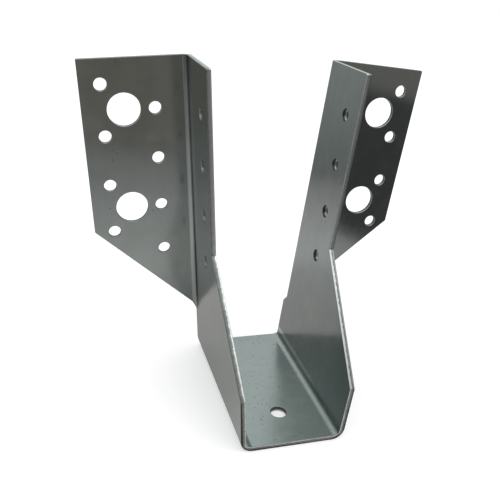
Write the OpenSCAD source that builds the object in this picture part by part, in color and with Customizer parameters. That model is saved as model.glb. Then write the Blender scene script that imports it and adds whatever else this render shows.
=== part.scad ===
// Joist hanger with outward flanges, folded from one strip of galvanised sheet.
//
// A seat carries the underside of the joist, two cheeks stand beside it, and each
// cheek is folded outward at its back into a flange that lies against the wall.
//
// Origin: the back edge of the seat's upper face, midway between the cheeks.
// +X is to the right, +Y runs into the wall and +Z is up, so the wall is the plane y = 0.
// Heights are measured up the cheek, from the upper face of the seat.

/* [Sheet] */
// Thickness of the sheet
sheet_t = 2; // [1.5:0.1:3]
// Inner radius of the two folds beside the seat
seat_fold_r = 3; // [1:0.5:5]
// Inner radius of the two folds between cheek and flange
flange_fold_r = 2; // [1:0.5:4]
// How far each face of the sheet draws in where it is folded
fold_thinning = 0.02; // [0.01:0.01:0.1]
// Radius of the trimmed corners at the top
corner_r = 0.5; // [0.2:0.1:4]

/* [Seat] */
// Clear width between the cheeks, which is the joist's width
joist_w = 38; // [32:1:100]
// Depth of the seat, from the wall to its front edge
seat_d = 74.5; // [60:0.5:100]

/* [Cheeks] */
// Height of the cheeks
cheek_h = 131; // [110:1:200]
// Depth of the cheeks at the top
cheek_top_d = 34.5; // [28:0.5:50]
// Height of the upright edge at the front of the seat
nose_h = 21.5; // [10:0.5:40]
// Height at which the slanted front edge meets the upright upper edge
neck_h = 61; // [45:1:100]
// Outward lean of the left cheek, in degrees
left_lean = 5; // [0:0.5:8]
// Outward lean of the right cheek, in degrees
right_lean = 4; // [0:0.5:8]

/* [Flanges] */
// Width of a flange, from the outer face of its cheek
flange_w = 41; // [38:1:60]
// Height of the lower corner at the flange's outer edge
tip_h = 62; // [45:1:90]
// Height at which the slanted lower edge meets the fold
root_h = 23; // [12:1:40]

/* [Holes] */
// Diameter of the nail holes
nail_d = 5; // [3:0.5:6]
// Distance between nail holes in one column
nail_pitch = 20; // [18:1:30]
// Diameter of the bolt holes
bolt_d = 13; // [9:0.5:15]
// Outer nail column, from the flange's outer edge
outer_nail_edge = 8; // [5:0.5:10]
// Inner nail column, from the outer nail column
nail_columns_apart = 20; // [18:0.5:22]
// Bolt holes, from the flange's outer edge
bolt_edge = 16; // [15:0.5:18]
// Highest nail hole of a flange, below the top
flange_nail_drop = 9.5; // [6:0.5:15]
// Highest nail hole of a cheek, below the top
cheek_nail_drop = 17.5; // [6:0.5:25]
// Nail holes of a cheek, from its upper front edge
cheek_nail_edge = 10.5; // [6:0.5:16]
// Number of nail holes in a cheek
cheek_nails = 4; // [1:1:4]
// Diameter of the hole in the seat
seat_hole_d = 6.5; // [4:0.5:14]
// Hole in the seat, from the seat's front edge
seat_hole_edge = 17.5; // [10:0.5:30]

/* [Hidden] */
$fn = 64;

// How far each punch or cut passes beyond the sheet
cut_past = 1;
// How far the ends of a fold reach into the flats that it joins, in degrees
fold_lap = 1;
// Outer radius of the flange folds: they end this far from the wall and from the cheek
fold_out = flange_fold_r + sheet_t;
// Height at which the back edge of a cheek starts to turn into the fold
turn_h = root_h - fold_out;
// Depth of the seat before its front edge is cut, in one go with the cheeks
blank_d = seat_d + cut_past;
// Half the width of the flat floor between the two seat folds
floor_half = joist_w / 2 - seat_fold_r;
// Outer edge of a flange, from the inner face of its cheek
flange_x = sheet_t + flange_w;
// Columns of holes in a flange, from the inner face of its cheek
outer_nail_x = flange_x - outer_nail_edge;
inner_nail_x = outer_nail_x - nail_columns_apart;
bolt_x = flange_x - bolt_edge;
// Height of the highest outer nail hole, and of the highest inner one half a pitch lower
outer_nail_h = cheek_h - flange_nail_drop;
inner_nail_h = outer_nail_h - nail_pitch / 2;
// Place and height of the highest nail hole in a cheek
cheek_nail_y = cheek_nail_edge - cheek_top_d;
cheek_nail_h = cheek_h - cheek_nail_drop;

// Height of the flange's slanted lower edge at a distance x from the cheek's inner face
function slant_h(x) =
    root_h + (x - fold_out) * (tip_h - root_h) / (flange_x - fold_out);

// Height of the cheek's slanted front edge at a distance d from the wall
function front_h(d) =
    nose_h + (seat_d - d) * (neck_h - nose_h) / (seat_d - cheek_top_d);

// Heights of one column of holes, from the top down to the slanted lower edge
function column(x, first_h, pitch, d) =
    [for (h = first_h; h > slant_h(x) + d; h = h - pitch) h];

// Section of a fold: a ring sector that turns up from straight down. Folding thins the
// sheet, so both ends lie inside the flats, with a clean joint at any lean.
module fold_section(inner_r, sweep) {
    reach = 2 * (inner_r + sheet_t);
    last = sweep + fold_lap;
    intersection() {
        difference() {
            circle(r = inner_r + sheet_t - fold_thinning);
            circle(r = inner_r + fold_thinning);
        }
        polygon([
            [0, 0],
            [-reach * sin(fold_lap), -reach * cos(fold_lap)],
            [reach, -reach],
            [reach * sin(last), -reach * cos(last)]
        ]);
    }
}

// What a corner of 90 degrees loses when it is rounded; the corner is at the origin and
// the material lies at negative x and y
module corner_waste() {
    translate([-corner_r, -corner_r])
        difference() {
            square(corner_r + cut_past);
            circle(r = corner_r);
        }
}

// Stands a flat drawing up in the plane of a cheek: drawn x becomes y, drawn y becomes z
module in_cheek_plane() {
    rotate([90, 0, 90])
        linear_extrude(sheet_t)
            children();
}

// Stands a flat drawing up against the wall: drawn x stays x, drawn y becomes z
module against_wall(depth) {
    rotate([90, 0, 0])
        linear_extrude(depth)
            children();
}

// Moves a side that is drawn upright, with its cheek's inner face at x = 0, out to the
// end of the seat and leans it about the centre line of the seat fold
module lean_out(lean) {
    translate([floor_half, 0, seat_fold_r])
        rotate([0, lean, 0])
            translate([seat_fold_r, 0, -seat_fold_r])
                children();
}

// Flat floor that the joist rests on, with its one hole
module seat() {
    difference() {
        translate([-floor_half, -blank_d, -sheet_t])
            cube([2 * floor_half, blank_d, sheet_t]);
        translate([0, seat_hole_edge - seat_d, -sheet_t - cut_past])
            cylinder(d = seat_hole_d, h = sheet_t + 2 * cut_past);
    }
}

// Fold between the seat and one cheek
module seat_fold(lean) {
    translate([floor_half, 0, seat_fold_r])
        against_wall(blank_d)
            fold_section(seat_fold_r, 90 - lean);
}

// Cheek: deep beside the seat, cut back on a slant, and narrow at the top. At the back it
// reaches the wall up to where the sheet turns into the fold.
module cheek() {
    difference() {
        in_cheek_plane()
            difference() {
                polygon([
                    [0, seat_fold_r],
                    [0, turn_h],
                    [-fold_out, root_h],
                    [-fold_out, cheek_h],
                    [-cheek_top_d, cheek_h],
                    [-cheek_top_d, neck_h],
                    [-blank_d, front_h(blank_d)],
                    [-blank_d, seat_fold_r]
                ]);
                translate([-cheek_top_d, cheek_h])
                    mirror([1, 0])
                        corner_waste();
            }
        for (i = [0 : cheek_nails - 1])
            translate([-cut_past, cheek_nail_y, cheek_nail_h - i * nail_pitch])
                rotate([0, 90, 0])
                    cylinder(d = nail_d, h = sheet_t + 2 * cut_past);
    }
}

// Fold between cheek and flange. The flange's slanted lower edge runs on across it, and
// steeper, down to where the cheek's back edge starts to turn.
module flange_fold() {
    intersection() {
        translate([fold_out, -fold_out, 0])
            rotate([0, 0, 180])
                linear_extrude(cheek_h)
                    fold_section(flange_fold_r, 90);
        against_wall(2 * fold_out)
            polygon([
                [0, turn_h],
                [sheet_t, turn_h],
                [fold_out, root_h],
                [flange_x, tip_h],
                [flange_x, 2 * cheek_h],
                [0, 2 * cheek_h]
            ]);
    }
}

// One column of holes in a flange
module punch_column(x, first_h, pitch, d) {
    for (h = column(x, first_h, pitch, d))
        translate([x, cut_past, h])
            rotate([90, 0, 0])
                cylinder(d = d, h = sheet_t + 2 * cut_past);
}

// Flange: two staggered columns of nail holes, and bolt holes level with every other
// nail hole of the inner column
module flange() {
    difference() {
        against_wall(sheet_t)
            difference() {
                polygon([
                    [fold_out, root_h],
                    [flange_x, tip_h],
                    [flange_x, cheek_h],
                    [fold_out, cheek_h]
                ]);
                translate([flange_x, cheek_h])
                    corner_waste();
            }
        punch_column(outer_nail_x, outer_nail_h, nail_pitch, nail_d);
        punch_column(inner_nail_x, inner_nail_h, nail_pitch, nail_d);
        punch_column(bolt_x, inner_nail_h, 2 * nail_pitch, bolt_d);
    }
}

// Everything on the right of the seat, at a given lean
module side(lean) {
    seat_fold(lean);
    lean_out(lean) {
        cheek();
        flange_fold();
        flange();
    }
}

// What is cut off in front of the seat and the cheeks
module front_waste() {
    translate([-joist_w, -seat_d, -2 * sheet_t])
        mirror([0, 1, 0])
            cube([2 * joist_w, seat_d, cheek_h]);
}

module joist_hanger() {
    color([0.60, 0.62, 0.62])
        difference() {
            union() {
                seat();
                side(right_lean);
                mirror([1, 0, 0])
                    side(left_lean);
            }
            front_waste();
        }
}

joist_hanger();
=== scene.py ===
# %% [markdown]
# # A joist hanger, dressed in Blender
# The real object is one strip of galvanised sheet steel, 2 mm thick, that is punched flat
# and then folded: a seat, two cheeks beside it and two flanges against the wall.
# The CAD model already has every fold and hole at its place, so it is loaded first as a
# fixed frame.

from math import atan2, cos, pi, radians, sin, tan

import bpy
from mathutils import Matrix, Vector


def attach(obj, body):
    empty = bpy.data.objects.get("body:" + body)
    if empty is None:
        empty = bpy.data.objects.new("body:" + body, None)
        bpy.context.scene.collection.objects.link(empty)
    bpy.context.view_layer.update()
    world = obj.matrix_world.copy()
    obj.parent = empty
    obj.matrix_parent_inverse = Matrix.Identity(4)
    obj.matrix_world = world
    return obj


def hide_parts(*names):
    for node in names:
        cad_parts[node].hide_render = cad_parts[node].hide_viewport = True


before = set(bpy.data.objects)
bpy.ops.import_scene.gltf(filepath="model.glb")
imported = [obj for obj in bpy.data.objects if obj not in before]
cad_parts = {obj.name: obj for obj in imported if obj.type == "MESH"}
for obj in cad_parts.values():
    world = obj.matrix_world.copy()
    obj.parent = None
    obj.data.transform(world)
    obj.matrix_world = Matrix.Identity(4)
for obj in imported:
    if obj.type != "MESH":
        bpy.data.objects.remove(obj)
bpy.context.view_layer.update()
hanger_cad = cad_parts["joist_hanger"]

# %% [markdown]
# ## Sizes
# Blender works in metres, and a sheet metal drawing in millimetres, so one factor turns the
# drawing's numbers into Blender's. The cheeks don't stand upright: the left one leans out
# by 5 degrees and the right one by 4, each about the centre line of its seat fold. A small
# function gives a point's place on the drawing of its side, where a cheek stands upright.

# %% The drawing's sizes
MM = 0.001
SHEET = 2 * MM
SEAT_FOLD = 3 * MM
FLANGE_FOLD = 2 * MM
FLOOR_HALF = 16 * MM
LEAN = {-1: radians(5), 1: radians(4)}


def on_drawing(point):
    """Side, distance out from the cheek's inner face, depth and height of a point."""
    side = 1 if point.x > 0 else -1
    out, up = abs(point.x) - FLOOR_HALF, point.z - SEAT_FOLD
    c, s = cos(LEAN[side]), sin(LEAN[side])
    return side, out * c - up * s - SEAT_FOLD, point.y, out * s + up * c + SEAT_FOLD


def turned_to_drawing(normal, side):
    """A direction in the same drawing: out, into the wall, up."""
    out, c, s = normal.x * side, cos(LEAN[side]), sin(LEAN[side])
    return Vector((out * c - normal.z * s, normal.y, out * s + normal.z * c))


print("Sheet", SHEET / MM, "mm, seat fold", SEAT_FOLD / MM, "mm, flange fold", FLANGE_FOLD / MM, "mm")

# %% [markdown]
# ## The camera
# The photograph is taken from the front left and from above, at arm's length, with the
# camera rolled by about five degrees. The three directions below are the camera's own axes,
# and the lens is the one that gives the photograph's perspective on a 36 mm sensor.

# %% Place the camera
camera_data = bpy.data.cameras.new("camera")
camera_data.sensor_width = 36
camera_data.lens = 45.737
camera_data.clip_start = 0.01
camera = bpy.data.objects.new("camera", camera_data)
bpy.context.scene.collection.objects.link(camera)
camera_right = Vector((0.954662, -0.285965, 0.082729))
camera_up = Vector((0.046260, 0.417033, 0.907713))
camera_back = Vector((-0.294075, -0.862733, 0.411354))
axes = Matrix((camera_right, camera_up, camera_back)).transposed().to_4x4()
camera.matrix_world = Matrix.Translation((-0.083276, -0.247536, 0.163712)) @ axes
bpy.context.scene.camera = camera
bpy.context.scene.view_settings.view_transform = "Standard"
print("Camera at", [round(v, 3) for v in camera.matrix_world.translation])

# %% [markdown]
# ## Helpers
# Colours are written as they look on a screen, as hex values, and Cycles wants linear light,
# so one function turns the one into the other. The next one adds a shader node, sets what
# is named, and links its inputs. The last two start a material and lay tones along a ramp.


# %% Colour and node helpers
def colour(hex_code):
    """sRGB hex to linear RGBA."""
    parts = [int(hex_code[i : i + 2], 16) / 255 for i in (1, 3, 5)]
    return [p / 12.92 if p <= 0.04045 else ((p + 0.055) / 1.055) ** 2.4 for p in parts] + [1]


def add_node(tree, kind, settings=None, **inputs):
    """Adds a node, sets its properties, and sets or links its inputs by name or number."""
    node = tree.nodes.new(kind)
    for name, value in (settings or {}).items():
        setattr(node, name, value)
    for name, value in inputs.items():
        by_number = name[0] == "i" and name[1:].isdigit()
        socket = node.inputs[int(name[1:]) if by_number else name.replace("_", " ")]
        if isinstance(value, bpy.types.NodeSocket):
            tree.links.new(value, socket)
        else:
            socket.default_value = value
    return node


def new_material(name):
    """An empty node material, with its tree and its output."""
    material = bpy.data.materials.new(name)
    material.use_nodes = True
    material.node_tree.nodes.clear()
    return material, material.node_tree, material.node_tree.nodes.new("ShaderNodeOutputMaterial")


def lay_tones(ramp, stops):
    """Lays hex colours along a ramp, each at its place from 0 to 1."""
    elements = ramp.color_ramp.elements
    while len(elements) < len(stops):
        elements.new(0.5)
    for element, (position, tone) in zip(elements, stops):
        element.position = position
        element.color = colour(tone)


print("Middle grey as light:", round(colour("#808080")[0], 3))

# %% [markdown]
# ## The room
# A metal shows what stands around it, so the room matters as much as the metal. The world is
# plain white, and a trace cooler where the metal mirrors it, as daylight is.

# %% The white world
world = bpy.data.worlds.new("white_room")
bpy.context.scene.world = world
world.use_nodes = True
world.node_tree.nodes.clear()
sees = add_node(world.node_tree, "ShaderNodeLightPath")
daylight = add_node(
    world.node_tree,
    "ShaderNodeMix",
    {"data_type": "RGBA"},
    Factor=sees.outputs["Is Glossy Ray"],
    i6=colour("#FFFFFF"),
    i7=colour("#F6FFFE"),
)
room_light = add_node(world.node_tree, "ShaderNodeBackground", Color=daylight.outputs[2], Strength=1.0)
add_node(world.node_tree, "ShaderNodeOutputWorld", Surface=room_light.outputs[0])
print("World strength:", room_light.inputs["Strength"].default_value)

# %% [markdown]
# The hanger stands on a pale floor. In the metal, the floor is brightest in a ring close
# round the hanger and falls off further out, as a table does under one lamp: the flanges
# and the cheeks mirror that fall-off. It could come from a lamp, but a lamp would also
# change the shadow, so here it is painted, in a paint that the camera doesn't see.

# %% The floor and its paint
FLOOR_Z = -SHEET
LIT_SPOT = (-0.035, 0.02, 0)
PAINTED_RADIUS = 0.6
bpy.ops.object.select_all(action="DESELECT")
bpy.ops.mesh.primitive_plane_add(size=6, location=(0, 0, FLOOR_Z))
floor = bpy.context.object
floor.name = "floor"

floor_paint, tree, out = new_material("pale_floor")
place = add_node(tree, "ShaderNodeTexCoord").outputs["Object"]
path = add_node(tree, "ShaderNodeLightPath")
from_lit_spot = add_node(tree, "ShaderNodeVectorMath", {"operation": "SUBTRACT"}, i0=place, i1=LIT_SPOT)
distance = add_node(tree, "ShaderNodeVectorMath", {"operation": "LENGTH"}, i0=from_lit_spot.outputs[0])
far = add_node(tree, "ShaderNodeMapRange", Value=distance.outputs["Value"], From_Max=PAINTED_RADIUS)
falling = add_node(tree, "ShaderNodeValToRGB", Fac=far.outputs[0])
# Painted light: these tones are a pool of light round the hanger, brightest in a ring and falling off
# outward, and a little darker in the middle, as painted shade under the hanger.
floor_tones = [
    (0.0, "#848382"),
    (0.05, "#888786"),
    (0.1, "#8D8C8B"),
    (0.142, "#9C9B9A"),
    (0.2, "#9B9A99"),
    (0.242, "#929190"),
    (0.283, "#8F8E8D"),
    (0.333, "#898887"),
    (0.392, "#81807F"),
    (0.45, "#797877"),
    (0.5, "#767574"),
    (0.6, "#706F6E"),
    (1.0, "#484746"),
]
lay_tones(falling, floor_tones)
paint = add_node(
    tree,
    "ShaderNodeMix",
    {"data_type": "RGBA"},
    Factor=path.outputs["Is Camera Ray"],
    i6=falling.outputs[0],
    i7=colour("#E2E2E2"),
)
print("Floor at z =", FLOOR_Z / MM, "mm, with", len(floor_tones), "tones")

# %% [markdown]
# For the camera the floor is evenly pale and gets some light of its own, so that it reads as
# white and still keeps the soft shadow under the seat. Metal, and glass if there were any,
# see the paint at its full tone.

# %% The floor's own light
LIFT = 0.48
diffuse = add_node(tree, "ShaderNodeBsdfDiffuse", Color=paint.outputs[2])
mirrored = add_node(
    tree,
    "ShaderNodeMath",
    {"operation": "ADD"},
    i0=path.outputs["Is Glossy Ray"],
    i1=path.outputs["Is Transmission Ray"],
)
lift = add_node(
    tree,
    "ShaderNodeMath",
    {"operation": "MULTIPLY_ADD"},
    i0=path.outputs["Is Camera Ray"],
    i1=LIFT,
    i2=mirrored.outputs[0],
)
own_light = add_node(tree, "ShaderNodeEmission", Color=paint.outputs[2], Strength=lift.outputs[0])
both = add_node(tree, "ShaderNodeAddShader", i0=diffuse.outputs[0], i1=own_light.outputs[0])
tree.links.new(both.outputs[0], out.inputs["Surface"])
floor_paint.cycles.emission_sampling = "NONE"
floor.data.materials.append(floor_paint)
print("Floor lifted by", LIFT, "for the camera")

# %% [markdown]
# The flanges face the camera, and in the photograph they are dark, because they mirror the
# dim part of the room behind the camera. A warm grey card stands there, as in a photo
# studio, and a small, darker one stands close to the hanger on the right: it darkens the
# right flange. Behind the hanger stand two more. The right cheek mirrors the tall one, which
# gets lighter upward, and the seat looks over the low one. Only the metal sees the cards,
# not the camera or the floor.


# %% The cards
def stand_card(name, middle, turn, width, height, stops, upright=False):
    """A glowing card on the floor, turned by some degrees, with its painted light from left to right or
    upward.
    """
    bpy.ops.object.select_all(action="DESELECT")
    bpy.ops.mesh.primitive_plane_add(
        size=1,
        location=(middle[0], middle[1], FLOOR_Z + height / 2),
        rotation=(radians(90), 0, radians(turn)),
    )
    card = bpy.context.object
    card.name = name
    card.scale = (width, height, 1)
    bpy.ops.object.transform_apply(location=True, rotation=True, scale=True)
    card.visible_camera = False
    card.visible_diffuse = False
    paint, tree, out = new_material(name)
    place = add_node(tree, "ShaderNodeTexCoord")
    across = add_node(tree, "ShaderNodeSeparateXYZ", Vector=place.outputs["Object"])
    half = width / 2 * cos(radians(turn))
    low, high = (FLOOR_Z, FLOOR_Z + height) if upright else (middle[0] - half, middle[0] + half)
    along = across.outputs["Z" if upright else "X"]
    share = add_node(tree, "ShaderNodeMapRange", Value=along, From_Min=low, From_Max=high)
    tones = add_node(tree, "ShaderNodeValToRGB", Fac=share.outputs[0])
    lay_tones(tones, stops)
    glow = add_node(tree, "ShaderNodeEmission", Color=tones.outputs[0], Strength=1.0)
    tree.links.new(glow.outputs[0], out.inputs["Surface"])
    paint.cycles.emission_sampling = "NONE"
    card.data.materials.append(paint)
    return card


# The cards are no lamps, but they glow at these tones: painted light and shade of the room, seen only in the
# metal. The small dark card on the right is painted shade, and the tall card is painted lighter upward.
front_tones = [
    (0.0, "#9A9590"),
    (0.41, "#9C9790"),
    (0.47, "#87827C"),
    (0.51, "#837E78"),
    (0.56, "#928E89"),
    (1.0, "#7E7C7A"),
]
right_tones = [(0.0, "#505150"), (1.0, "#505150")]
tall_tones = [(0.0, "#828684"), (0.33, "#A4A8A6"), (1.0, "#B2B5B4")]
low_tones = [(0.0, "#A2A4A3"), (1.0, "#A2A4A3")]
cards = [
    stand_card("dim_card_front", (-0.02, -0.325), 29, 1.05, 0.30, front_tones),
    stand_card("painted_shade_card_right", (0.072, -0.215), 69, 0.30, 0.10, right_tones),
    stand_card("tall_card_back", (-0.28, 0.295), 0, 0.50, 0.27, tall_tones, upright=True),
    stand_card("low_card_back", (0.20, 0.295), 0, 0.46, 0.16, low_tones),
]
print("Cards:", [card.name for card in cards])

# %% [markdown]
# One large soft lamp hangs above and in front. It gives the slanted cut edges and the
# folds their light. It is large and close, so it leaves no hard shadow.

# %% The soft lamp
lamp_data = bpy.data.lights.new("soft_lamp", "AREA")
lamp_data.shape = "RECTANGLE"
lamp_data.size = 0.6
lamp_data.size_y = 0.4
lamp_data.energy = 1.0
lamp = bpy.data.objects.new("soft_lamp", lamp_data)
bpy.context.scene.collection.objects.link(lamp)
lamp.location = (0.1, -0.35, 0.75)
lamp.rotation_euler = (Vector((0, -0.02, 0.05)) - lamp.location).to_track_quat("-Z", "Y").to_euler()
print("Lamp at", [round(v, 2) for v in lamp.location])

# %% [markdown]
# ## The sheet
# The CAD node has every shape, but its edges are knife sharp, and a sheared and punched edge
# never is: the tool drags the zinc round the rim. The sheet here starts as a copy of the
# node's mesh. Its loose triangles are merged first, and flat ones are dissolved to whole
# faces. All sharp edges then get a rim of a fifth of a millimetre, which catches the
# light as the real edges do.

# %% Copy the mesh and merge it
bpy.ops.object.select_all(action="DESELECT")
sheet = bpy.data.objects.new("folded_sheet", hanger_cad.data.copy())
bpy.context.scene.collection.objects.link(sheet)
sheet.data.materials.clear()
bpy.context.view_layer.objects.active = sheet
sheet.select_set(True)
bpy.ops.mesh.customdata_custom_splitnormals_clear()
bpy.ops.object.mode_set(mode="EDIT")
bpy.ops.mesh.select_mode(type="EDGE")
bpy.ops.mesh.select_all(action="SELECT")
bpy.ops.mesh.remove_doubles(threshold=0.03 * MM)
bpy.ops.mesh.dissolve_limited(angle_limit=radians(0.3))
bpy.ops.mesh.select_all(action="DESELECT")
bpy.ops.mesh.edges_select_sharp(sharpness=radians(40))
bpy.ops.object.mode_set(mode="OBJECT")
print("Merged sheet:", len(sheet.data.vertices), "points,", len(sheet.data.polygons), "faces")

# %% [markdown]
# The sharp edges are marked with a bevel weight, and a Bevel modifier rounds what is
# marked. At the foot of each flange fold many short edges meet, where a rounded rim would
# pull points out of place, so those stay as they are.

# %% Round the edges
RIM = 0.18 * MM
FOLD_FOOT = (19 * MM, 23 * MM)


def at_fold_foot(point):
    """Whether a point is at the foot of a flange fold."""
    out, depth, height = on_drawing(point)[1:]
    corner = SHEET + FLANGE_FOLD + 0.4 * MM
    low, high = FOLD_FOOT[0] - corner, FOLD_FOOT[1] + 1.5 * MM
    return out < corner and depth > -corner and low < height < high


foot = {v.index for v in sheet.data.vertices if at_fold_foot(v.co)}
weights = sheet.data.attributes.new("bevel_weight_edge", "FLOAT", "EDGE")
rounded = 0
for edge in sheet.data.edges:
    if edge.select and not all(i in foot for i in edge.vertices):
        weights.data[edge.index].value = 1.0
        rounded += 1
bpy.ops.object.shade_smooth()
rim = sheet.modifiers.new("rim", "BEVEL")
rim.limit_method = "WEIGHT"
rim.width = RIM
rim.segments = 2
rim.use_clamp_overlap = False
bpy.ops.object.modifier_apply(modifier="rim")
print("Rounded edges:", rounded, "now", len(sheet.data.polygons), "faces")

# %% [markdown]
# The zinc covers the sheet's two faces, and the shears and punches lay the steel bare, so
# the edges and hole walls get a finish of their own. On the drawing of a side it is plain
# which is which: a face of the seat looks up or down, one of a cheek looks sideways,
# and one of a flange looks at the wall or away from it.


# %% Tell cut edges from zinc faces
def looks_along_the_sheet(centre, normal):
    """Whether a face with this normal is a cut through the sheet."""
    side, out, depth, height = on_drawing(centre)
    way = turned_to_drawing(normal, side)
    if abs(centre.x) < FLOOR_HALF and height < 3 * SEAT_FOLD:
        return abs(normal.z) < 0.5
    if height < SEAT_FOLD:
        return abs(way.y) > 0.5
    corner = SHEET + FLANGE_FOLD
    if depth > -corner and out < corner:
        return abs(way.z) > 0.3
    if out > corner - 0.1 * MM:
        return abs(way.y) < 0.5
    return abs(way.x) < 0.5


for face in sheet.data.polygons:
    face.material_index = int(looks_along_the_sheet(face.center, face.normal))
cut_faces = sum(face.material_index for face in sheet.data.polygons)
print("Cut faces:", cut_faces, "of", len(sheet.data.polygons))

# %% [markdown]
# The rims and the cut edges change their tone through the sheet, so each corner of each face
# gets its depth in it: 0 on the joist's side and 1 on the other. It could be worked out in
# the material, but in Python the folds are easier to follow. A broad face gets a single
# depth, for at the foot of a fold one point belongs to both sides of the sheet.


# %% Depth in the sheet
def depth_in_sheet(point):
    """How far a point lies from the sheet's inner face, in sheet thicknesses."""
    out, depth, height = on_drawing(point)[1:]
    corner = SHEET + FLANGE_FOLD
    if abs(point.x) < FLOOR_HALF and height < 3 * SEAT_FOLD:
        return -point.z / SHEET
    if height < SEAT_FOLD:
        return (Vector((out + SEAT_FOLD, height - SEAT_FOLD)).length - SEAT_FOLD) / SHEET
    in_fold = (corner - Vector((out - corner, depth + corner)).length) / SHEET
    if depth > -corner and out < corner and -0.02 < in_fold < 1.02:
        return in_fold
    if out > corner - 0.1 * MM:
        return -depth / SHEET
    return out / SHEET


depths = [depth_in_sheet(vertex.co) for vertex in sheet.data.vertices]
depth_values = sheet.data.attributes.new("depth_in_sheet", "FLOAT", "CORNER")
BROAD = 100 * MM * MM
broad_faces = []
for face in sheet.data.polygons:
    own = [depths[point] for point in face.vertices]
    if face.material_index == 0 and face.area > BROAD:
        broad_faces.append(face.index)
        own = [round(sorted(own)[len(own) // 2])] * len(own)
    for corner, value in zip(face.loop_indices, own):
        depth_values.data[corner].value = value
print("Points with a depth:", len(depths), "broad faces:", len(broad_faces))

# %% [markdown]
# The walls of the holes look different from the sheared outline, so their points are marked
# too. The holes stand in rows, 20 mm apart, and each row is given as on the drawing:
# its place across, its highest hole, the pitch, the radius and the number of holes, all in
# mm. A point counts as a hole's where it is within a quarter of a millimetre of it.

# %% Mark the points of the holes
FLANGE_ROWS = [(35, 121.5, 20, 2.5, 4), (15, 111.5, 20, 2.5, 4), (27, 111.5, 40, 6.5, 2)]
CHEEK_ROW = (-24, 113.5, 20, 2.5, 4)
SEAT_HOLE = (0, -57, 3.25)
REACH = 0.25


def near_row(across, height, row):
    """Whether a place in mm is at one of the holes of a row."""
    middle, top, pitch, radius, count = row
    heights = [top - i * pitch for i in range(count)]
    return any(Vector((across - middle, height - h)).length < radius + REACH for h in heights)


def at_hole(point):
    """Whether a point is on the wall or the rim of a hole."""
    out, depth, height = [length / MM for length in on_drawing(point)[1:]]
    if height < 2 * SEAT_FOLD / MM:
        return (point.xy / MM - Vector(SEAT_HOLE[:2])).length < SEAT_HOLE[2] + REACH
    if out > (SHEET + FLANGE_FOLD) / MM:
        return any(near_row(out, height, row) for row in FLANGE_ROWS)
    return near_row(depth, height, CHEEK_ROW)


hole_values = sheet.data.attributes.new("hole_wall", "FLOAT", "POINT")
marked = 0
for vertex in sheet.data.vertices:
    if at_hole(vertex.co):
        hole_values.data[vertex.index].value = 1.0
        marked += 1
print("Points at holes:", marked)

# %% [markdown]
# A press brake bends the sheet with a fairly sharp punch, so on the inside a real fold rises
# slowly from the seat and then turns quickly into the cheek, along a crease. The copy has a
# true quarter circle there. Each of its points is drawn some way towards the corner in
# which seat and cheek would meet, most of all at three quarters of the turn, close to the
# cheek. Weighted normals then keep the broad faces flat, so that only the rims and folds
# are shaded round. A broad face also touches the unrounded points of a fold foot, so it is
# given its own normal at every corner.

# %% Crease the seat folds
PULL = 1.9
INNER_PART = 0.2
creased = 0
for vertex in sheet.data.vertices:
    side = 1 if vertex.co.x > 0 else -1
    out, up = abs(vertex.co.x) - FLOOR_HALF, vertex.co.z - SEAT_FOLD
    depth = depths[vertex.index]
    if out < 0 or up > 0 or depth > INNER_PART or Vector((out, up)).length > SEAT_FOLD + SHEET:
        continue
    whole_turn = radians(90) - LEAN[side]
    share = atan2(out, -up) / whole_turn
    if 0.02 < share < 0.98:
        pull = PULL * share * share * sin(pi * share) * (1 - depth)
        vertex.co.x = side * (FLOOR_HALF + out + pull * (SEAT_FOLD * tan(whole_turn / 2) - out))
        vertex.co.z = SEAT_FOLD + up + pull * (-SEAT_FOLD - up)
        creased += 1
flat = sheet.modifiers.new("flat", "WEIGHTED_NORMAL")
flat.mode = "FACE_AREA"
flat.weight = 100
bpy.ops.object.modifier_apply(modifier="flat")
corner_ways = [tuple(corner.vector) for corner in sheet.data.corner_normals]
for face in [sheet.data.polygons[i] for i in broad_faces]:
    for corner in face.loop_indices:
        corner_ways[corner] = tuple(face.normal)
sheet.data.normals_split_custom_set(corner_ways)
print("Creased points:", creased)

# %% [markdown]
# ## Hot-dip galvanised sheet
# Zinc that froze on steel and was then rolled lightly: a grey metal with a blurred mirror in
# it. Up close it has faint crystal patches a few millimetres wide, soft clouds where
# the coat is thicker, fine rolling lines, and small dark specks where dross stuck to it.

# %% Zinc face material
zinc, tree, out = new_material("hot_dip_zinc")
place = add_node(tree, "ShaderNodeTexCoord").outputs["Object"]
crystals = add_node(tree, "ShaderNodeTexVoronoi", {"feature": "SMOOTH_F1"}, Vector=place, Scale=1 / (4 * MM))
clouds = add_node(tree, "ShaderNodeTexNoise", Vector=place, Scale=1 / (14 * MM), Detail=4.0, Roughness=0.6)
grain = add_node(tree, "ShaderNodeTexNoise", Vector=place, Scale=1 / (0.5 * MM), Detail=2.0, Roughness=0.5)
stretched = add_node(
    tree,
    "ShaderNodeMapping",
    {"vector_type": "POINT"},
    Vector=place,
    Scale=(1 / (2.5 * MM), 1 / (2.5 * MM), 1 / (90 * MM)),
)
rolling = add_node(
    tree, "ShaderNodeTexNoise", Vector=stretched.outputs[0], Scale=1.0, Detail=3.0, Roughness=0.55
)
crystal_tone = add_node(tree, "ShaderNodeSeparateColor", Color=crystals.outputs["Color"])
patch = add_node(
    tree,
    "ShaderNodeMix",
    {"data_type": "FLOAT"},
    Factor=0.7,
    i2=crystal_tone.outputs[0],
    i3=clouds.outputs[0],
)
mottle = add_node(
    tree, "ShaderNodeMix", {"data_type": "FLOAT"}, Factor=0.35, i2=patch.outputs[0], i3=rolling.outputs[0]
)
tone = add_node(tree, "ShaderNodeValToRGB", Fac=mottle.outputs[0])
zinc_tones = [(0.3, "#979E9C"), (0.7, "#A3A8A6")]
lay_tones(tone, zinc_tones)
print("Zinc tones:", zinc_tones)

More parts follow.
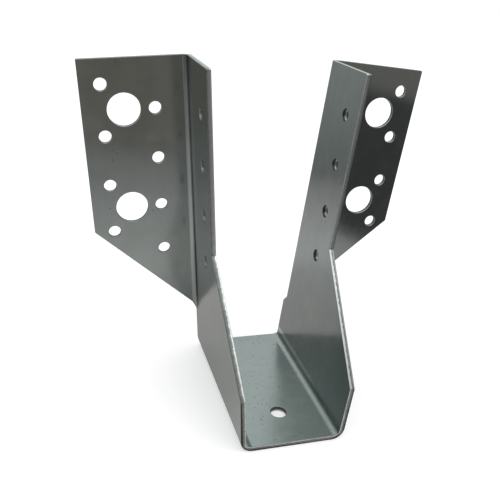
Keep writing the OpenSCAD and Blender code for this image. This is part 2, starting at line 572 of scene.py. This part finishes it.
# %% [markdown]
# The specks lie in loose groups, most of them on the seat. Each is the middle of a small
# cell, and only some cells have one. They are drawn up to 0.6 mm wide, a little coarser
# than the real ones, so that they show.

# %% Specks of dross
cells = add_node(tree, "ShaderNodeTexVoronoi", {"feature": "F1"}, Vector=place, Scale=1 / (1.6 * MM))
groups = add_node(tree, "ShaderNodeTexNoise", Vector=place, Scale=1 / (9 * MM), Detail=2.0, Roughness=0.5)
height = add_node(tree, "ShaderNodeSeparateXYZ", Vector=place)
on_seat = add_node(
    tree,
    "ShaderNodeMapRange",
    Value=height.outputs["Z"],
    From_Min=0.5 * MM,
    From_Max=6 * MM,
    To_Min=0.44,
    To_Max=0.64,
)
in_group = add_node(
    tree, "ShaderNodeMath", {"operation": "GREATER_THAN"}, i0=groups.outputs[0], i1=on_seat.outputs[0]
)
lot = add_node(tree, "ShaderNodeSeparateColor", Color=cells.outputs["Color"])
chosen = add_node(tree, "ShaderNodeMath", {"operation": "GREATER_THAN"}, i0=lot.outputs[0], i1=0.45)
near_middle = add_node(
    tree,
    "ShaderNodeMapRange",
    Value=cells.outputs["Distance"],
    From_Min=0.12,
    From_Max=0.19,
    To_Min=1.0,
    To_Max=0.0,
)
some = add_node(
    tree, "ShaderNodeMath", {"operation": "MULTIPLY"}, i0=in_group.outputs[0], i1=chosen.outputs[0]
)
speck = add_node(
    tree, "ShaderNodeMath", {"operation": "MULTIPLY"}, i0=some.outputs[0], i1=near_middle.outputs[0]
)
specked = add_node(
    tree,
    "ShaderNodeMix",
    {"data_type": "RGBA"},
    Factor=speck.outputs[0],
    i6=tone.outputs[0],
    i7=colour("#48524F"),
)
print("Specks up to", round(2 * 0.19 * 1.6, 2), "mm wide")

# %% [markdown]
# The gloss is that of a sheet which was rolled lightly after the bath: a fairly clear mirror.
# Towards the seat it is duller, because the seat is what the parts rub on in the crate. The
# strip is never quite flat, so a very low, long wave runs up it, which bends the
# mirrored room into soft upright bands.

# %% Gloss and flatness
gloss = add_node(
    tree,
    "ShaderNodeMapRange",
    Value=patch.outputs[0],
    From_Min=0.3,
    From_Max=0.7,
    To_Min=0.12,
    To_Max=0.18,
)
rubbed = add_node(
    tree,
    "ShaderNodeMapRange",
    {"interpolation_type": "SMOOTHSTEP"},
    Value=height.outputs["Z"],
    From_Min=1 * MM,
    From_Max=45 * MM,
    To_Min=0.10,
    To_Max=0.0,
)
dulled = add_node(tree, "ShaderNodeMath", {"operation": "ADD"}, i0=gloss.outputs[0], i1=rubbed.outputs[0])
long_way = add_node(
    tree,
    "ShaderNodeMapping",
    {"vector_type": "POINT"},
    Vector=place,
    Scale=(1 / (16 * MM), 1 / (16 * MM), 1 / (220 * MM)),
)
waves = add_node(tree, "ShaderNodeTexNoise", Vector=long_way.outputs[0], Scale=1.0, Detail=1.0, Roughness=0.5)
wave_bump = add_node(tree, "ShaderNodeBump", Strength=1.0, Distance=0.12 * MM, Height=waves.outputs[0])
bump = add_node(
    tree,
    "ShaderNodeBump",
    Strength=0.10,
    Distance=0.02 * MM,
    Height=grain.outputs[0],
    Normal=wave_bump.outputs[0],
)
print("Roughness from 0.12 to 0.28")

# %% [markdown]
# Along the crease at the foot of each cheek, on the inside, a thin, bright, broken line is
# painted, a painted highlight of the crease, which fades out towards the front. It is a lighter
# tone than the zinc.

# %% The painted highlight along the crease
CREASE_HIGHLIGHT_Z = 3.4 * MM
through = add_node(tree, "ShaderNodeAttribute", {"attribute_name": "depth_in_sheet"})
from_line = add_node(
    tree, "ShaderNodeMath", {"operation": "SUBTRACT"}, i0=height.outputs["Z"], i1=CREASE_HIGHLIGHT_Z
)
off_line = add_node(tree, "ShaderNodeMath", {"operation": "ABSOLUTE"}, i0=from_line.outputs[0])
near_crease = add_node(
    tree,
    "ShaderNodeMapRange",
    {"interpolation_type": "SMOOTHSTEP"},
    Value=off_line.outputs[0],
    From_Min=0.3 * MM,
    From_Max=1.5 * MM,
    To_Min=1.0,
    To_Max=0.0,
)
to_front = add_node(
    tree,
    "ShaderNodeMapRange",
    {"interpolation_type": "SMOOTHSTEP"},
    Value=height.outputs["Y"],
    From_Min=-62 * MM,
    From_Max=-22 * MM,
)
broken = add_node(tree, "ShaderNodeMapRange", Value=clouds.outputs[0], From_Min=0.30, From_Max=0.55)
inner_side = add_node(tree, "ShaderNodeMath", {"operation": "LESS_THAN"}, i0=through.outputs["Fac"], i1=0.5)
crease_highlight = near_crease.outputs[0]
for fade in (to_front, broken, inner_side):
    product = add_node(tree, "ShaderNodeMath", {"operation": "MULTIPLY"}, i0=crease_highlight, i1=fade.outputs[0])
    crease_highlight = product.outputs[0]
# Painted highlight along the crease, mixed into the zinc's tone.
highlighted_zinc = add_node(
    tree,
    "ShaderNodeMix",
    {"data_type": "RGBA"},
    Factor=crease_highlight,
    i6=specked.outputs[2],
    i7=colour("#D6DAD8"),
)
print("Press line at Z =", round(CREASE_HIGHLIGHT_Z / MM, 1), "mm")

# %% [markdown]
# The rims are painted a dark grey, as painted shade along each rounded rim. A rim is where
# the depth in the sheet leaves its two ends, 0 and 1, by a little more than a hundredth.

# %% Painted shade on the rims, and the finished zinc
to_middle = add_node(tree, "ShaderNodeMath", {"operation": "PINGPONG"}, i0=through.outputs["Fac"], i1=0.5)
# Painted shade on the rims.
rim_shade = add_node(tree, "ShaderNodeMapRange", Value=to_middle.outputs[0], From_Min=0.012, From_Max=0.025)
zinc_tone = add_node(
    tree,
    "ShaderNodeMix",
    {"data_type": "RGBA"},
    Factor=rim_shade.outputs[0],
    i6=highlighted_zinc.outputs[2],
    i7=colour("#5A5D5B"),
)
metal = add_node(
    tree,
    "ShaderNodeBsdfPrincipled",
    Base_Color=zinc_tone.outputs[2],
    Metallic=1.0,
    Roughness=dulled.outputs[0],
    Normal=bump.outputs[0],
)
tree.links.new(metal.outputs[0], out.inputs["Surface"])
print(zinc.name, "has", len(tree.nodes), "nodes")

# %% [markdown]
# ## Sheared steel
# A shear first cuts a smooth, bright band into the sheet and then tears the rest off, which
# leaves a dark, ragged line and a duller band. On top of that, each cut's overall tone is
# painted light and shade. The slanted front edges face the light above and in front and are
# painted bright: on the right the smooth band is half the sheet, on the left a third. The lower
# upright edges and the ends are painted in shade, a painted reflection of the dim room in front,
# with a thin light line on the joist's side and a dark one outside, and the edges high up are
# painted lighter. The tones below are laid out by the depth in the sheet, and a fine noise,
# half on average, is added to the depth and makes them ragged.

# %% Tones through the sheet
cut_steel, tree, out = new_material("sheared_steel")
coordinates = add_node(tree, "ShaderNodeTexCoord")
place = coordinates.outputs["Object"]
through = add_node(tree, "ShaderNodeAttribute", {"attribute_name": "depth_in_sheet"})
wander = add_node(tree, "ShaderNodeTexNoise", Vector=place, Scale=1 / (1.2 * MM), Detail=4.0, Roughness=0.65)
speckle = add_node(tree, "ShaderNodeTexNoise", Vector=place, Scale=1 / (0.4 * MM), Detail=2.0, Roughness=0.6)
uneven = add_node(
    tree,
    "ShaderNodeMath",
    {"operation": "MULTIPLY_ADD"},
    i0=wander.outputs[0],
    i1=0.5,
    i2=through.outputs["Fac"],
)
ragged = add_node(
    tree,
    "ShaderNodeMath",
    {"operation": "MULTIPLY_ADD"},
    i0=speckle.outputs[0],
    i1=0.5,
    i2=uneven.outputs[0],
)
NOISE_MIDDLE, RAMP_SPAN = 0.5, 1.5


def tones_through(stops):
    """Tones from the joist's side of the sheet, at 0, to the other side, at 1."""
    share = add_node(tree, "ShaderNodeMath", {"operation": "DIVIDE"}, i0=ragged.outputs[0], i1=RAMP_SPAN)
    ramp = add_node(tree, "ShaderNodeValToRGB", Fac=share.outputs[0])
    lay_tones(ramp, [(min(1.0, (depth + NOISE_MIDDLE) / RAMP_SPAN), tone) for depth, tone in stops])
    return ramp.outputs[0]


# Painted light and shade: the lit slants are painted bright, the shaded uprights dark, the high uprights
# lighter, and the punched hole walls dark, as shade in the holes.
cut_tones = {
    "lit slant, left": [
        (-0.05, "#C6CAC8"), (0.06, "#E4E8E6"), (0.28, "#D8DBD9"),
        (0.38, "#8C8E8B"), (0.62, "#7C7E7B"), (0.90, "#666866"),
    ],
    "lit slant, right": [
        (-0.05, "#C6CAC8"), (0.08, "#E4E8E6"), (0.42, "#D8DBD9"),
        (0.50, "#5F5D5A"), (0.58, "#666461"), (0.68, "#B0B2B0"),
    ],
    "shaded upright": [
        (-0.10, "#A2A6A4"), (0.02, "#E0E4E2"), (0.16, "#D6DAD8"),
        (0.28, "#8E9290"), (0.66, "#828684"), (0.82, "#3E403E"),
    ],
    "lighter upright, high up": [
        (-0.10, "#A2A6A4"), (0.02, "#E0E4E2"), (0.16, "#D6DAD8"),
        (0.28, "#B4B8B6"), (0.66, "#ACB0AE"), (0.90, "#787A78"),
    ],
    "punched": [(0.0, "#585A58"), (0.45, "#464846"), (0.60, "#8F918F"), (0.70, "#A6A8A6")],
}
cut = {name: tones_through(stops) for name, stops in cut_tones.items()}
print("Kinds of cut:", list(cut))

# %% [markdown]
# Which of these tones a cut shows depends on where it is: the slanted edges look up and to
# the front at once and get the painted bright tones, the left ones have a negative X, the high
# ones lie above the slant and get the painted lighter tones, and the hole walls are marked and
# painted dark, as painted shade in the holes.

# %% Cut edge material
facing = add_node(tree, "ShaderNodeSeparateXYZ", Vector=coordinates.outputs["Normal"])
slant = add_node(
    tree, "ShaderNodeMath", {"operation": "MULTIPLY"}, i0=facing.outputs["Y"], i1=facing.outputs["Z"]
)
is_slanted = add_node(tree, "ShaderNodeMapRange", Value=slant.outputs[0], From_Min=-0.25, From_Max=-0.40)
where = add_node(tree, "ShaderNodeSeparateXYZ", Vector=place)
on_left = add_node(tree, "ShaderNodeMath", {"operation": "LESS_THAN"}, i0=where.outputs["X"], i1=0.0)
lit_slant_cut = add_node(
    tree,
    "ShaderNodeMix",
    {"data_type": "RGBA"},
    Factor=on_left.outputs[0],
    i6=cut["lit slant, right"],
    i7=cut["lit slant, left"],
)
high_up = add_node(
    tree, "ShaderNodeMapRange", Value=where.outputs["Z"], From_Min=45 * MM, From_Max=60 * MM
)
upright = add_node(
    tree, "ShaderNodeMix", {"data_type": "RGBA"}, Factor=high_up.outputs[0], i6=cut["shaded upright"], i7=cut["lighter upright, high up"]
)
edge_tone = add_node(
    tree,
    "ShaderNodeMix",
    {"data_type": "RGBA"},
    Factor=is_slanted.outputs[0],
    i6=upright.outputs[2],
    i7=lit_slant_cut.outputs[2],
)
# The hole walls get dark tones, a painted shade in the holes.
walls = add_node(tree, "ShaderNodeAttribute", {"attribute_name": "hole_wall"})
tone = add_node(
    tree,
    "ShaderNodeMix",
    {"data_type": "RGBA"},
    Factor=walls.outputs["Fac"],
    i6=edge_tone.outputs[2],
    i7=cut["punched"],
)
gloss = add_node(
    tree,
    "ShaderNodeMapRange",
    Value=wander.outputs[0],
    From_Min=0.3,
    From_Max=0.7,
    To_Min=0.36,
    To_Max=0.58,
)
bump = add_node(tree, "ShaderNodeBump", Strength=0.6, Distance=0.06 * MM, Height=wander.outputs[0])
metal = add_node(
    tree,
    "ShaderNodeBsdfPrincipled",
    Base_Color=tone.outputs[2],
    Metallic=1.0,
    Roughness=gloss.outputs[0],
    Normal=bump.outputs[0],
)
tree.links.new(metal.outputs[0], out.inputs["Surface"])
print("Cut steel roughness from 0.36 to 0.58")

# %% [markdown]
# ## Dress the model
# The first material is for the faces marked 0, the zinc, and the second for those marked 1,
# the cuts. The sheet then takes the place of the CAD node, and rides on the only body.

# %% Dress the sheet
sheet.data.materials.append(zinc)
sheet.data.materials.append(cut_steel)
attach(sheet, "root")
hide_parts("joist_hanger")
print("Dressed:", sheet.name, "with", [material.name for material in sheet.data.materials])
